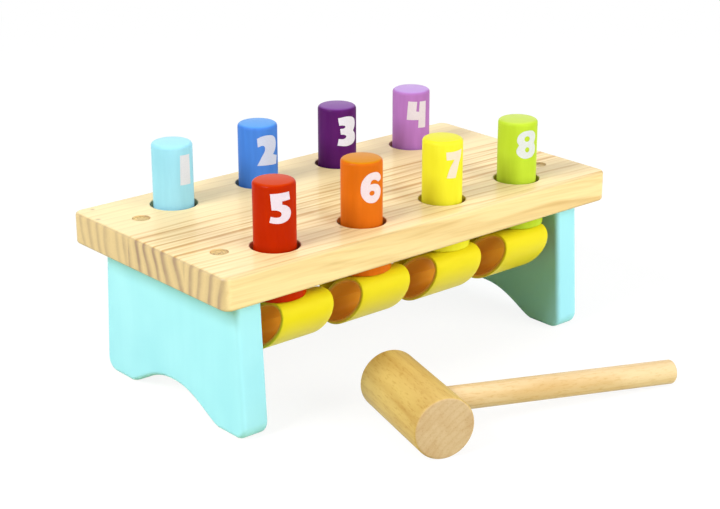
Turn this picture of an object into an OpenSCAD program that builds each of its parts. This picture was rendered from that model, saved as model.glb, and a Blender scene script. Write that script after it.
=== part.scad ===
// Peg pounding bench: eight numbered pegs in two rows on springy loops, and a mallet beside it.
// Millimetres. X runs along the bench, -Y is its front, +Z is up and Z = 0 is the table.
// The origin is at the middle of the footprint of the bench and the mallet together.

/* [Board] */
// Length of the board along X
board_l = 303.6; // [284:0.4:330]
// Width of the board along Y
board_w = 154; // [146:1:170]
// Thickness of the board
board_t = 19.7; // [17:0.1:24]
// Radius of the board's upright corners
board_corner_r = 6; // [4:0.5:9]
// Radius of the board's top and bottom edges
board_edge_r = 2; // [1:0.5:4]

/* [Legs] */
// Height of the legs, and so of the board's underside
leg_h = 84.4; // [80:0.2:95]
// Thickness of a leg panel
leg_t = 18; // [16:0.2:22]
// Distance from the board's front or back to the leg's edge under it
leg_side_inset = 11.6; // [9:0.2:16]
// How far each foot stands out beyond the leg's top
leg_splay = 5.1; // [2:0.1:8]
// Distance from the board's end to the outer face of the leg
leg_inset = 15.1; // [10:0.1:18]
// Radius of the feet's outer corners
leg_corner_r = 9; // [5:0.5:12]
// Radius of the leg's painted edges
leg_edge_r = 3; // [1:0.5:4]
// Width of the arch between the two feet
arch_w = 88; // [72:1:96]
// Height of the arch
arch_h = 15; // [12:0.5:19]

/* [Pegs] */
// Diameter of a peg
peg_d = 24.8; // [23:0.2:26]
// Height of a peg above the board
peg_rise = 38.7; // [34:0.1:46]
// Distance from the board's end to the first peg's middle
peg_end_inset = 55.1; // [52:0.1:58]
// Distance from the board's front or back to a row of pegs
peg_side_inset = 27.3; // [25:0.1:30]
// Clear space all round a peg in its hole
hole_gap = 2; // [1.5:0.1:2.4]
// Radius of the peg's top edge
peg_edge_r = 1.8; // [1:0.2:3]
// Diameter of the collar under the board that keeps a peg in
collar_d = 35; // [33:0.2:36]
// Height of the collar
collar_h = 8.9; // [7:0.1:10]
// Radius of the collar's edges
collar_edge_r = 1; // [0.6:0.1:1.6]

/* [Springs] */
// Width of a spring strip along X
spring_w = 37.2; // [32:0.2:40]
// Thickness of the strip
spring_t = 2.6; // [2:0.1:3]
// Long axis of the leaning loop
loop_long = 46.8; // [42:0.2:50]
// Short axis of the leaning loop
loop_short = 23.8; // [20:0.2:26]
// Angle at which the loop leans outwards
loop_lean = 40; // [34:1:46]
// Space between the feet of the two rows of springs
spring_feet_gap = 12.6; // [8:0.2:16]
// Inner radius of the bend between the foot and the tail
spring_bend_r = 4; // [3:0.5:5]

/* [Mallet] */
// Diameter of the mallet's head
head_d = 37; // [32:0.2:42]
// Length of the mallet's head
head_l = 74.1; // [66:0.1:80]
// Diameter of the handle
handle_d = 14.7; // [13:0.1:17]
// Length of the handle from the head's axis to its free end
handle_l = 172; // [160:1:190]
// Radius of the rounded edges of head and handle
mallet_edge_r = 1.5; // [0.8:0.1:2.4]
// Distance from the handle's blind end to the head's far side
head_wall = 10; // [8:0.5:13]
// Place of the head's middle along the bench
mallet_x = -54; // [-70:0.5:-40]
// Distance from the board's front to the head's middle
mallet_out = 45.2; // [43:0.1:70]
// Turn of the handle away from the bench's length
mallet_turn = 16.8; // [10:0.2:25]

/* [Screws] */
// Diameter of the plugs over the leg screws
plug_d = 10.7; // [9:0.1:12]
// Thickness of a plug
plug_t = 5; // [4:0.1:6]
// Depth of the plug's face below the board's top
plug_sink = 0.8; // [0.4:0.1:1.2]
// Distance from the leg's edge under the board to the nearest leg screw
leg_screw_inset = 26.6; // [20:0.2:32]
// Shank diameter of a leg screw
leg_screw_d = 4; // [3.5:0.1:5]
// Length of a leg screw
leg_screw_l = 38; // [34:1:44]
// Shank diameter of a spring screw
spring_screw_d = 3; // [2.5:0.1:3.4]
// Length of a spring screw below its head
spring_screw_l = 12; // [10:0.5:14]
// Distance between the two screws of a spring
spring_screw_gap = 20; // [16:0.5:24]

/* [Hidden] */
$fn = 64;

// Counts
columns = 4;
pegs = 2 * columns;
arch_steps = 28;
loop_steps = 48;
dome_steps = 8;

// Clearances
overrun = 1;
seat_gap = 0.3;
glue_gap = 0.05;
tail_gap = 0.9;

// Shares of other sizes
spring_pitch_share = 0.915;
head_shape_share = 0.55;
recess_depth_share = 0.5;
recess_width_share = 0.17;
recess_length_share = 0.62;
leg_screw_head_share = 2;
spring_screw_head_share = 2.2;
spring_screw_dome_share = 0.7;
pilot_share = 1.25;
arch_power_share = 2.2;
arch_tail_share = 1.5;

// Board
top_z = leg_h + board_t;
hole_d = peg_d + 2 * hole_gap;
peg_pitch = (board_l - 2 * peg_end_inset) / (columns - 1);
row_gap = board_w - 2 * peg_side_inset;

// Legs
leg_x = board_l / 2 - leg_inset - leg_t / 2;
leg_top_w = board_w - 2 * leg_side_inset;
leg_foot_w = leg_top_w + 2 * leg_splay;
leg_flare = leg_splay / leg_h;
screw_y = leg_top_w / 2 - leg_screw_inset;

// Leg screws, whose heads lie under the plugs
plug_top_z = top_z - plug_sink;
plug_bottom_z = plug_top_z - plug_t;
leg_screw_head_d = leg_screw_head_share * leg_screw_d;
leg_screw_head_h = head_shape_share * leg_screw_d;
leg_pilot_z = plug_bottom_z - leg_screw_l * pilot_share;

// Pegs and their collars
collar_top_z = leg_h - seat_gap;
collar_bottom_z = collar_top_z - collar_h;
peg_top_z = top_z + peg_rise;

// Springs, in the plane of a cut across the bench: out is the distance from its middle
loop_a = loop_long / 2;
loop_b = loop_short / 2;
loop_half_z = sqrt(pow(loop_a * sin(loop_lean), 2) + pow(loop_b * cos(loop_lean), 2));
loop_half_y = sqrt(pow(loop_a * cos(loop_lean), 2) + pow(loop_b * sin(loop_lean), 2));
loop_out = row_gap / 2;
loop_z = collar_bottom_z - seat_gap - loop_half_z;
loop_back = loop_out - loop_half_y;
web_drop = (loop_a * loop_a - loop_b * loop_b) * sin(loop_lean) * cos(loop_lean) / loop_half_y;
web_z = loop_z - web_drop;
tail_out = min(loop_back + spring_t, loop_out - collar_d / 2 - tail_gap);
tail_in = tail_out - spring_t;
foot_in = spring_feet_gap / 2;
foot_flat_out = tail_in - spring_bend_r;
foot_mid = (foot_in + foot_flat_out) / 2;
spring_pitch = peg_pitch * spring_pitch_share;
spring_screw_head_d = spring_screw_head_share * spring_screw_d;
spring_screw_head_h = spring_screw_dome_share * spring_screw_d;

// Mallet, which lies on its head and on the end of its handle
head_r = head_d / 2;
handle_r = handle_d / 2;
rim_l = handle_l - mallet_edge_r;
rim_r = handle_r - mallet_edge_r;
handle_slope = asin((head_r - mallet_edge_r) / norm([rim_l, rim_r])) - atan(rim_r / rim_l);
handle_run = cos(handle_slope) * sin(mallet_turn);
mallet_y = -board_w / 2 - mallet_out;
front_y = mallet_y - rim_l * handle_run - rim_r * sqrt(1 - handle_run * handle_run) - mallet_edge_r;
set_shift = -(board_w / 2 + front_y) / 2;
bore_l = head_r - head_wall;

function column_of(k) = (k - 1) % columns - (columns - 1) / 2;
function row_side(k) = k <= columns ? 1 : -1;
function peg_x(k) = column_of(k) * peg_pitch;
function peg_y(k) = row_side(k) * row_gap / 2;
function spring_x(k) = column_of(k) * spring_pitch;

// Points of an ellipse that leans at loop_lean
function loop_points(a, b) = [for (i = [0 : loop_steps - 1]) let (t = i * 360 / loop_steps)
    [a * cos(t) * cos(loop_lean) - b * sin(t) * sin(loop_lean),
     a * cos(t) * sin(loop_lean) + b * sin(t) * cos(loop_lean)]];

// Height of the leg's arch at a distance y from its middle
function arch_z(y) = arch_h * pow(1 - pow(abs(2 * y / arch_w), arch_power_share), arch_tail_share);

// A round body from z0 to z1 whose two rims are rounded with radius e
module rounded_disc(r, z0, z1, e) {
    rotate_extrude() intersection() {
        translate([0, z0]) square([r, z1 - z0]);
        union() {
            translate([0, z0]) square([r - e, z1 - z0]);
            translate([0, z0 + e]) square([r, z1 - z0 - 2 * e]);
            for (z = [z0 + e, z1 - e]) translate([r - e, z]) circle(e, $fn = 24);
        }
    }
}

// Places what follows at every leg screw
module at_leg_screws() {
    for (sx = [-1, 1], sy = [-1, 1]) translate([sx * leg_x, sy * screw_y, 0]) children();
}

// Places what follows at both screws of spring k
module at_spring_screws(k) {
    for (sx = [-1, 1])
        translate([spring_x(k) + sx * spring_screw_gap / 2, row_side(k) * foot_mid, 0]) children();
}

module board_blank() {
    hull() for (sx = [-1, 1], sy = [-1, 1])
        translate([sx * (board_l / 2 - board_corner_r), sy * (board_w / 2 - board_corner_r), 0])
            rounded_disc(board_corner_r, leg_h, top_z, board_edge_r, $fn = 32);
}

module top_board() {
    color("#F2DFAF") translate([0, set_shift, 0]) difference() {
        board_blank();
        for (k = [1 : pegs]) translate([peg_x(k), peg_y(k), leg_h - overrun])
            cylinder(d = hole_d, h = board_t + 2 * overrun);
        at_leg_screws() {
            translate([0, 0, plug_bottom_z - leg_screw_head_h])
                cylinder(d = plug_d, h = board_t + overrun);
            translate([0, 0, leg_h - overrun]) cylinder(d = leg_screw_d + 2 * seat_gap, h = board_t);
        }
        for (k = [1 : pegs]) at_spring_screws(k) translate([0, 0, leg_h - overrun])
            cylinder(d = spring_screw_d + 2 * glue_gap, h = spring_screw_l - spring_t + 2 * overrun);
    }
}

// One panel, standing on z = 0 with its middle at x = 0
module leg_blank() {
    foot_y = leg_foot_w / 2 - leg_corner_r;
    above = leg_h + leg_corner_r;
    above_y = foot_y - leg_flare * leg_h;
    difference() {
        hull() for (sy = [-1, 1]) {
            translate([-leg_t / 2, sy * foot_y, leg_corner_r]) rotate([0, 90, 0])
                rounded_disc(leg_corner_r, 0, leg_t, leg_edge_r, $fn = 32);
            translate([-leg_t / 2, sy * above_y, above]) rotate([0, 90, 0])
                rounded_disc(leg_corner_r, 0, leg_t, leg_edge_r, $fn = 32);
        }
        translate([-leg_t, -leg_foot_w, leg_h]) cube([2 * leg_t, 2 * leg_foot_w, 3 * leg_corner_r]);
    }
}

module arch_cut() {
    points = [for (i = [-arch_steps : arch_steps])
        let (y = i * arch_w / 2 / arch_steps) [y, arch_z(y)]];
    rotate([90, 0, 90]) linear_extrude(height = 2 * leg_t, center = true)
        polygon(concat([[-arch_w / 2, -overrun]], points, [[arch_w / 2, -overrun]]));
}

module leg(side) {
    color("#AEF4FA") translate([side * leg_x, set_shift, 0]) difference() {
        leg_blank();
        arch_cut();
        for (sy = [-1, 1]) translate([0, sy * screw_y, leg_pilot_z])
            cylinder(d = leg_screw_d + 2 * glue_gap, h = leg_h);
    }
}
module left_leg() { leg(-1); }
module right_leg() { leg(1); }

// A cross recess in the top of a screw head whose top is at z = 0
module cross_recess(head_d, head_h) {
    for (a = [0, 90]) rotate([0, 0, a]) translate([0, 0, -head_h * recess_depth_share / 2])
        cube([head_d * recess_length_share, head_d * recess_width_share, head_h * recess_depth_share],
            center = true);
}

module leg_screws() {
    color("#C9CCD0") translate([0, set_shift, 0]) at_leg_screws() translate([0, 0, plug_bottom_z])
        difference() {
            union() {
                translate([0, 0, -leg_screw_head_h]) cylinder(d = leg_screw_head_d, h = leg_screw_head_h);
                translate([0, 0, -leg_screw_l])
                    cylinder(d = leg_screw_d, h = leg_screw_l - leg_screw_head_h);
                translate([0, 0, -leg_screw_l - leg_screw_d])
                    cylinder(d1 = 0, d2 = leg_screw_d, h = leg_screw_d);
            }
            translate([0, 0, glue_gap]) cross_recess(leg_screw_head_d, leg_screw_head_h);
        }
}

module screw_plugs() {
    color("#E3C88E") translate([0, set_shift, 0]) at_leg_screws() translate([0, 0, plug_bottom_z])
        cylinder(d = plug_d - 2 * glue_gap, h = plug_t);
}

// Peg k: a turned peg with its collar, in one piece
module peg(k, paint) {
    color(paint) translate([peg_x(k), peg_y(k) + set_shift, 0]) {
        rounded_disc(collar_d / 2, collar_bottom_z, collar_top_z, collar_edge_r);
        rounded_disc(peg_d / 2, collar_bottom_z + collar_edge_r, peg_top_z, peg_edge_r);
    }
}
module peg_1() { peg(1, "#A0E4F0"); }
module peg_2() { peg(2, "#4480DC"); }
module peg_3() { peg(3, "#5C1C66"); }
module peg_4() { peg(4, "#B478BC"); }
module peg_5() { peg(5, "#C82800"); }
module peg_6() { peg(6, "#E4761C"); }
module peg_7() { peg(7, "#F0E830"); }
module peg_8() { peg(8, "#C0DC30"); }

// Cut through a spring: x is the distance out from the bench's middle and y is the height
module spring_outline() {
    bend_z = leg_h - spring_t - spring_bend_r;
    difference() {
        union() {
            translate([loop_out, loop_z]) polygon(loop_points(loop_a, loop_b));
            translate([tail_in, web_z - spring_t]) square([spring_t, bend_z - web_z + spring_t]);
            translate([tail_in, web_z - spring_t]) square([loop_back + spring_t - tail_in, 2 * spring_t]);
            translate([foot_in, leg_h - spring_t]) square([foot_flat_out - foot_in, spring_t]);
            translate([foot_flat_out, bend_z]) intersection() {
                difference() {
                    circle(r = spring_bend_r + spring_t);
                    circle(r = spring_bend_r);
                }
                square(spring_bend_r + spring_t);
            }
        }
        translate([loop_out, loop_z]) polygon(loop_points(loop_a - spring_t, loop_b - spring_t));
    }
}

// Spring k: one strip, screwed under the board and rolled into a loop under the peg's collar
module spring(k) {
    color("#F2E832") translate([0, set_shift, 0]) difference() {
        translate([spring_x(k), 0, 0]) mirror([0, row_side(k) < 0 ? 1 : 0, 0]) rotate([90, 0, 90])
            linear_extrude(height = spring_w, center = true) spring_outline();
        at_spring_screws(k) translate([0, 0, leg_h - spring_t - overrun])
            cylinder(d = spring_screw_d + 2 * seat_gap, h = spring_t + 2 * overrun);
    }
}
module spring_1() { spring(1); }
module spring_2() { spring(2); }
module spring_3() { spring(3); }
module spring_4() { spring(4); }
module spring_5() { spring(5); }
module spring_6() { spring(6); }
module spring_7() { spring(7); }
module spring_8() { spring(8); }

// One pan head screw, pointing up, whose head bears on z = 0
module spring_screw() {
    head_r = spring_screw_head_d / 2;
    difference() {
        union() {
            cylinder(d = spring_screw_d, h = spring_screw_l);
            rotate_extrude() polygon(concat([[0, 0]],
                [for (i = [0 : dome_steps]) let (t = 90 * i / dome_steps)
                    [head_r * cos(t), -spring_screw_head_h * sin(t)]]));
        }
        translate([0, 0, -spring_screw_head_h]) mirror([0, 0, 1])
            cross_recess(spring_screw_head_d, spring_screw_head_h);
    }
}

module spring_screws() {
    color("#C9CCD0") translate([0, set_shift, 0]) for (k = [1 : pegs])
        at_spring_screws(k) translate([0, 0, leg_h - spring_t]) spring_screw();
}

// Puts what follows, drawn with the handle along X and the head along Y, where the mallet lies
module lay_mallet() {
    translate([mallet_x, mallet_y + set_shift, head_r]) rotate([0, 0, -mallet_turn])
        rotate([0, handle_slope, 0]) children();
}

module mallet_head() {
    color("#E6CB94") lay_mallet() difference() {
        rotate([90, 0, 0]) rounded_disc(head_r, -head_l / 2, head_l / 2, mallet_edge_r);
        translate([-bore_l, 0, 0]) rotate([0, 90, 0])
            cylinder(r = handle_r + glue_gap, h = bore_l + head_r + overrun);
    }
}

module mallet_handle() {
    color("#E9D096") lay_mallet() rotate([0, 90, 0])
        rounded_disc(handle_r, -bore_l, handle_l, mallet_edge_r);
}

top_board();
left_leg();
right_leg();
leg_screws();
screw_plugs();
peg_1();
peg_2();
peg_3();
peg_4();
peg_5();
peg_6();
peg_7();
peg_8();
spring_1();
spring_2();
spring_3();
spring_4();
spring_5();
spring_6();
spring_7();
spring_8();
spring_screws();
mallet_head();
mallet_handle();
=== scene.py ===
# Peg pounding bench with its mallet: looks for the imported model, in metres, in the model's own frame.
import math
import bmesh
import bpy
from mathutils import Matrix, Vector


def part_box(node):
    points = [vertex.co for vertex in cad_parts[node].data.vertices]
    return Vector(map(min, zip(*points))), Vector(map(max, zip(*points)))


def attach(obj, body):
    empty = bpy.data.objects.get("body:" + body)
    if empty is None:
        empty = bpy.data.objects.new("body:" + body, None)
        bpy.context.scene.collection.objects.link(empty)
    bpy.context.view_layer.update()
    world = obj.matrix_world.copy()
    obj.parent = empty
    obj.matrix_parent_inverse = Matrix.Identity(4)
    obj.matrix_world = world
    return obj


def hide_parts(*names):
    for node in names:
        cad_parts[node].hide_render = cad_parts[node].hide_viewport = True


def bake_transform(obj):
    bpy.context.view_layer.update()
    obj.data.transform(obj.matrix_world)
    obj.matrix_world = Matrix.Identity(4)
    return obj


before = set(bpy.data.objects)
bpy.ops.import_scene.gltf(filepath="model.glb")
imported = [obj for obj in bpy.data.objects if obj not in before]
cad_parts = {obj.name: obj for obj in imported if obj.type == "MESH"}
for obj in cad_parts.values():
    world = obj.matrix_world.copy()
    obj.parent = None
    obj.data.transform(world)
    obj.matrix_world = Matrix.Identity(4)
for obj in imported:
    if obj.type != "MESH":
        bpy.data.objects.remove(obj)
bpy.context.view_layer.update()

scene = bpy.context.scene
scene.view_settings.view_transform = "Standard"
millimetre = 0.001  # the settings of the pieces are in mm and degrees, the scene in metres
tiny, weldReach = 1e-6, 1e-7  # metres: what counts as level, and how near corners are welded


def linearColour(hexValue):
    # from #RRGGBB in sRGB to a linear colour with alpha
    channels = [int(hexValue[i:i + 2], 16) / 255 for i in (1, 3, 5)]
    return tuple(c / 12.92 if c <= 0.04045 else ((c + 0.055) / 1.055) ** 2.4 for c in channels) + (1,)


def addNode(tree, kind, settings=None, links=None):
    node = tree.nodes.new(kind)
    for name, value in (settings or {}).items():
        if name == "stops":  # colour ramp: (position, grey or hex)
            while len(node.color_ramp.elements) < len(value):
                node.color_ramp.elements.new(1)
            for element, (position, shade) in zip(node.color_ramp.elements, value):
                element.position = position
                element.color = linearColour(shade) if isinstance(shade, str) else (shade,) * 3 + (1,)
        elif isinstance(name, int) or name in node.inputs:
            node.inputs[name].default_value = value
        else:
            setattr(node, name, value)
    for name, socket in (links or {}).items():
        tree.links.new(socket, node.inputs[name])
    return node


def newMaterial(name):
    material = bpy.data.materials.new(name)
    material.use_nodes = True
    tree = material.node_tree
    tree.nodes.clear()
    return material, tree


def finishMaterial(tree, shader):
    addNode(tree, "ShaderNodeOutputMaterial", links={"Surface": shader.outputs[0]})


def smoothShade(mesh, degrees=40):
    mesh.polygons.foreach_set("use_smooth", [True] * len(mesh.polygons))
    mesh.set_sharp_from_angle(angle=math.radians(degrees))


def evenShade(piece):
    even = piece.modifiers.new("evenShade", "WEIGHTED_NORMAL")
    even.keep_sharp = True


def meshPiece(name, bm, material, body, nodes=(), smoothAngle=40):
    mesh = bpy.data.meshes.new(name)
    bm.to_mesh(mesh)
    bm.free()
    piece = bpy.data.objects.new(name, mesh)
    scene.collection.objects.link(piece)
    mesh.materials.append(material)
    smoothShade(mesh, smoothAngle)
    if body:
        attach(piece, body)
    if nodes:
        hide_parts(*nodes)
    return piece


def bakeModifiers(piece):
    graph = bpy.context.evaluated_depsgraph_get()
    baked = bpy.data.meshes.new_from_object(piece.evaluated_get(graph))
    piece.modifiers.clear()
    old, piece.data = piece.data, baked
    bpy.data.meshes.remove(old)


def mergeInto(whole, part):
    scrap = bpy.data.meshes.new("scrap")
    part.to_mesh(scrap)
    part.free()
    whole.from_mesh(scrap)
    bpy.data.meshes.remove(scrap)


def roundOff(bm, parts, radius, steps, kind="EDGES"):
    bmesh.ops.bevel(bm, geom=parts, offset=radius, affect=kind, segments=steps, profile=0.5, material=-1)


def turnedShape(profile, steps=72, bevelSteps=5):
    # profile: (radius, height, rounding) from the foot to the top, turned about Z
    bm = bmesh.new()
    verts = [bm.verts.new((radius, 0, height)) for radius, height, rounding in profile]
    edges = [bm.edges.new(pair) for pair in zip(verts, verts[1:])]
    bmesh.ops.spin(bm, geom=verts + edges, cent=(0, 0, 0), axis=(0, 0, 1), angle=2 * math.pi,
                   steps=steps, use_merge=True)
    bmesh.ops.remove_doubles(bm, verts=bm.verts, dist=weldReach)
    bmesh.ops.recalc_face_normals(bm, faces=bm.faces)
    for radius, height, rounding in profile:
        if rounding:
            ring = [e for e in bm.edges
                    if all(abs(v.co.z - height) < weldReach
                           and abs(v.co.xy.length - radius) < weldReach for v in e.verts)]
            roundOff(bm, ring, rounding, bevelSteps)
    return bm


boardLow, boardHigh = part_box("top_board")
benchMid = (boardLow + boardHigh) / 2
benchY = benchMid.y

camera = {
    "place": (-660.1, -780.9, 433.5),  # mm from the floor point under the bench's middle
    "azimuth": -40.594, "elevation": 19.992, "roll": -0.065,  # degrees
    "lens": 86.69, "sensor": 36,  # mm
    "sees": (0.05, 50),  # nearest and farthest, in metres
}


def makeCamera(c):
    azimuth, elevation, roll = (math.radians(c[k]) for k in ("azimuth", "elevation", "roll"))
    back = Vector((math.sin(azimuth) * math.cos(elevation), -math.cos(azimuth) * math.cos(elevation),
                   math.sin(elevation)))
    right = (-back).cross(Vector((0, 0, 1))).normalized()
    up = right.cross(-back)
    right, up = (math.cos(roll) * right + math.sin(roll) * up,
                 -math.sin(roll) * right + math.cos(roll) * up)
    data = bpy.data.cameras.new("camera")
    data.lens, data.sensor_width, data.sensor_fit = c["lens"], c["sensor"], "HORIZONTAL"
    data.clip_start, data.clip_end = c["sees"]
    shooter = bpy.data.objects.new("camera", data)
    scene.collection.objects.link(shooter)
    turn = Matrix((right, up, back)).transposed().to_4x4()
    place = Vector(c["place"]) * millimetre + Vector((0, benchY, 0))
    shooter.matrix_world = Matrix.Translation(place) @ turn
    scene.camera = shooter


makeCamera(camera)
print("camera placed")

pine = {
    "early": "#F0D8A2", "late": "#C69852", "endEarly": "#D6BC8B", "endLate": "#9C8069",
    # edge-glued strips from the rear forwards: where each ends at its front (mm from the board's middle
    # line), its pith (across, up), and how strongly its growth rings show
    "strips": [{"front": 17, "pith": (-125, 22), "strength": 0.22},
               {"front": -38, "pith": (-127, 24), "strength": 1.2},
               {"front": -90, "pith": (-124, -17), "strength": 0.64}],
    "ring": 9.4, "tilt": (0.018, 0.035), "waver": 9.0,  # mm between rings, lean along the board, mm of waver
    "ringWidths": {"noise_dimensions": "1D", "Scale": 0.05, "Detail": 1.0},
    "knots": [(-141, 71, 1.3), (-148.5, 53, 1.5), (-49, -51, 1.2)],  # on the top, in mm: x, y, radius
    "knotColour": "#8A7458", "knotStrength": 0.55, "knotEdge": (0.4, 1.5),  # fades between these radii
    # how dark a growth ring is from one winter to the next, on the long faces and on the end grain
    "sideBand": [(0.0, 0.7), (0.06, 0.05), (0.36, 0.0), (0.48, 0.45), (0.57, 0.05), (0.76, 0.25),
                 (0.95, 1.0)],
    "endBand": [(0.0, 0.8), (0.14, 0.2), (0.42, 0.0), (0.62, 0.3), (0.8, 0.85), (0.92, 1.0)],
    # features per mm, along the grain and across it
    "slowSpace": (0.006, 0.03, 0.03), "patchSpace": (0.012, 0.07, 0.07),
    "lineSpace": (0.012, 0.55, 0.55), "fibreSpace": (0.03, 1.2, 1.2),
    # how much of the figure each noise lets show
    "patches": {"From Min": 0.34, "From Max": 0.62, "To Min": 0.38, "To Max": 1.0},
    "fineLines": {"From Min": 0.45, "From Max": 0.75, "To Max": 0.42},
    "fibres": {"From Min": 0.3, "From Max": 0.7, "To Min": 0.95, "To Max": 1.03},
    # by the way a face looks: figure on the long sides, end grain, and painted shade that darkens the rounded
    # edges
    "longSides": {"From Min": 0.3, "From Max": 0.9, "To Min": 1.0, "To Max": 0.95},
    "ends": {"From Min": 0.45, "From Max": 0.85},
    "paintedEdgeShade": {"From Max": 0.5, "To Min": 1.0, "To Max": 0.78},
    "endStrengthPower": 0.45, "endPatchPower": 0.5,  # both below 1: the end grain shows more evenly
    "relief": {"Strength": 0.25, "Distance": 0.00012},
    "finish": {"Roughness": 0.5, "IOR": 1.5, "Specular IOR Level": 0.3, "Coat Weight": 0.22,
               "Coat Roughness": 0.07},
}


def pineMaterial(p):
    # edge-glued radiata pine, planed and satin lacquered: pale wood, honey latewood, greyer on the end grain
    material, tree = newMaterial("planedPine")
    coordinates = addNode(tree, "ShaderNodeTexCoord")
    place = addNode(tree, "ShaderNodeMapping",
                    {"Location": (0, -benchY / millimetre, -benchMid.z / millimetre),
                     "Scale": (1 / millimetre,) * 3},
                    {"Vector": coordinates.outputs["Object"]}).outputs[0]
    axes = addNode(tree, "ShaderNodeSeparateXYZ", links={0: place})

    # the trunk's lean and waver, then each strip's own pith and strength
    slow = addNode(tree, "ShaderNodeMapping", {"Scale": p["slowSpace"]}, {"Vector": place}).outputs[0]
    drift = addNode(tree, "ShaderNodeTexNoise", {"Scale": 1.0, "Detail": 2.0, "Roughness": 0.5},
                    {"Vector": slow}).outputs["Color"]
    waver = addNode(tree, "ShaderNodeVectorMath",
                    {"operation": "MULTIPLY_ADD", 1: (0, p["waver"], p["waver"]),
                     2: (0, -p["waver"] / 2, -p["waver"] / 2)}, {0: drift}).outputs[0]
    leaning = addNode(tree, "ShaderNodeVectorMath", {"operation": "SCALE", 0: (0,) + p["tilt"]},
                      {"Scale": axes.outputs["X"]}).outputs[0]
    wavered = addNode(tree, "ShaderNodeVectorMath", {"operation": "ADD"},
                      {0: place, 1: waver}).outputs[0]
    leant = addNode(tree, "ShaderNodeVectorMath", {"operation": "ADD"},
                    {0: wavered, 1: leaning}).outputs[0]
    first = p["strips"][0]
    traits = addNode(tree, "ShaderNodeCombineXYZ",
                     {0: first["strength"], 1: first["pith"][0], 2: first["pith"][1]}).outputs[0]
    for before, strip in zip(p["strips"], p["strips"][1:]):
        passed = addNode(tree, "ShaderNodeMath", {"operation": "LESS_THAN", 1: before["front"]},
                         {0: axes.outputs["Y"]}).outputs[0]
        traits = addNode(tree, "ShaderNodeMix",
                         {"data_type": "VECTOR", 5: (strip["strength"],) + strip["pith"]},
                         {0: passed, 4: traits}).outputs[1]
    strength = addNode(tree, "ShaderNodeSeparateXYZ", links={0: traits}).outputs["X"]

    # growth rings round the pith
    offPith = addNode(tree, "ShaderNodeVectorMath", {"operation": "SUBTRACT"},
                      {0: leant, 1: traits}).outputs[0]
    across = addNode(tree, "ShaderNodeVectorMath", {"operation": "MULTIPLY", 1: (0, 1, 1)},
                     {0: offPith}).outputs[0]
    radius = addNode(tree, "ShaderNodeVectorMath", {"operation": "LENGTH"}, {0: across}).outputs["Value"]
    widths = addNode(tree, "ShaderNodeTexNoise", p["ringWidths"], {"W": radius}).outputs["Fac"]
    ringAt = addNode(tree, "ShaderNodeMath", {"operation": "MULTIPLY_ADD", 1: 1 / p["ring"]},
                     {0: radius, 2: widths}).outputs[0]
    phase = addNode(tree, "ShaderNodeMath", {"operation": "FRACT"}, {0: ringAt}).outputs[0]
    sideBand, endBand = (addNode(tree, "ShaderNodeValToRGB", {"stops": p[stops]},
                                 {"Fac": phase}).outputs["Color"] for stops in ("sideBand", "endBand"))

    # patches where the figure fades, and fine lines between the rings
    patchSpace = addNode(tree, "ShaderNodeMapping", {"Scale": p["patchSpace"]},
                         {"Vector": place}).outputs[0]
    patch = addNode(tree, "ShaderNodeTexNoise", {"Scale": 1.0, "Detail": 2.0},
                    {"Vector": patchSpace}).outputs["Fac"]
    patchy = addNode(tree, "ShaderNodeMapRange", p["patches"], {"Value": patch}).outputs[0]
    lineSpace = addNode(tree, "ShaderNodeMapping", {"Scale": p["lineSpace"]},
                        {"Vector": leant}).outputs[0]
    lines = addNode(tree, "ShaderNodeTexNoise", {"Scale": 1.0, "Detail": 2.0},
                    {"Vector": lineSpace}).outputs["Fac"]
    fineLines = addNode(tree, "ShaderNodeMapRange", p["fineLines"], {"Value": lines}).outputs[0]

    # how much latewood shows on the long faces and on the end grain
    normal = addNode(tree, "ShaderNodeSeparateXYZ", links={0: coordinates.outputs["Normal"]})
    facingFront = addNode(tree, "ShaderNodeMath", {"operation": "ABSOLUTE"},
                          {0: normal.outputs["Y"]}).outputs[0]
    onSides = addNode(tree, "ShaderNodeMapRange", p["longSides"], {"Value": facingFront}).outputs[0]
    bandHere = addNode(tree, "ShaderNodeMath", {"operation": "MULTIPLY"},
                       {0: sideBand, 1: patchy}).outputs[0]
    banded = addNode(tree, "ShaderNodeMath", {"operation": "MULTIPLY_ADD"},
                     {0: bandHere, 1: onSides, 2: fineLines}).outputs[0]
    sideAmount = addNode(tree, "ShaderNodeMath", {"operation": "MULTIPLY"},
                         {0: banded, 1: strength}).outputs[0]
    endStrength = addNode(tree, "ShaderNodeMath", {"operation": "POWER", 1: p["endStrengthPower"]},
                          {0: strength}).outputs[0]
    endPatchy = addNode(tree, "ShaderNodeMath", {"operation": "POWER", 1: p["endPatchPower"]},
                        {0: patchy}).outputs[0]
    endHere = addNode(tree, "ShaderNodeMath", {"operation": "MULTIPLY"},
                      {0: endBand, 1: endPatchy}).outputs[0]
    endAmount = addNode(tree, "ShaderNodeMath", {"operation": "MULTIPLY"},
                        {0: endHere, 1: endStrength}).outputs[0]
    side, end = (addNode(tree, "ShaderNodeMix",
                         {"data_type": "RGBA", 6: linearColour(p[early]), 7: linearColour(p[late])},
                         {0: amount}).outputs[2]
                 for early, late, amount in (("early", "late", sideAmount),
                                             ("endEarly", "endLate", endAmount)))
    facingEnd = addNode(tree, "ShaderNodeMath", {"operation": "ABSOLUTE"},
                        {0: normal.outputs["X"]}).outputs[0]
    endMask = addNode(tree, "ShaderNodeMapRange", p["ends"], {"Value": facingEnd}).outputs[0]
    wood = addNode(tree, "ShaderNodeMix", {"data_type": "RGBA"},
                   {0: endMask, 6: side, 7: end}).outputs[2]
    top = (boardHigh.z - benchMid.z) / millimetre
    dark, gone = p["knotEdge"]
    for x, y, size in p["knots"]:
        away = addNode(tree, "ShaderNodeVectorMath", {"operation": "DISTANCE", 1: (x, y, top)},
                       {0: place}).outputs["Value"]
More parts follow.
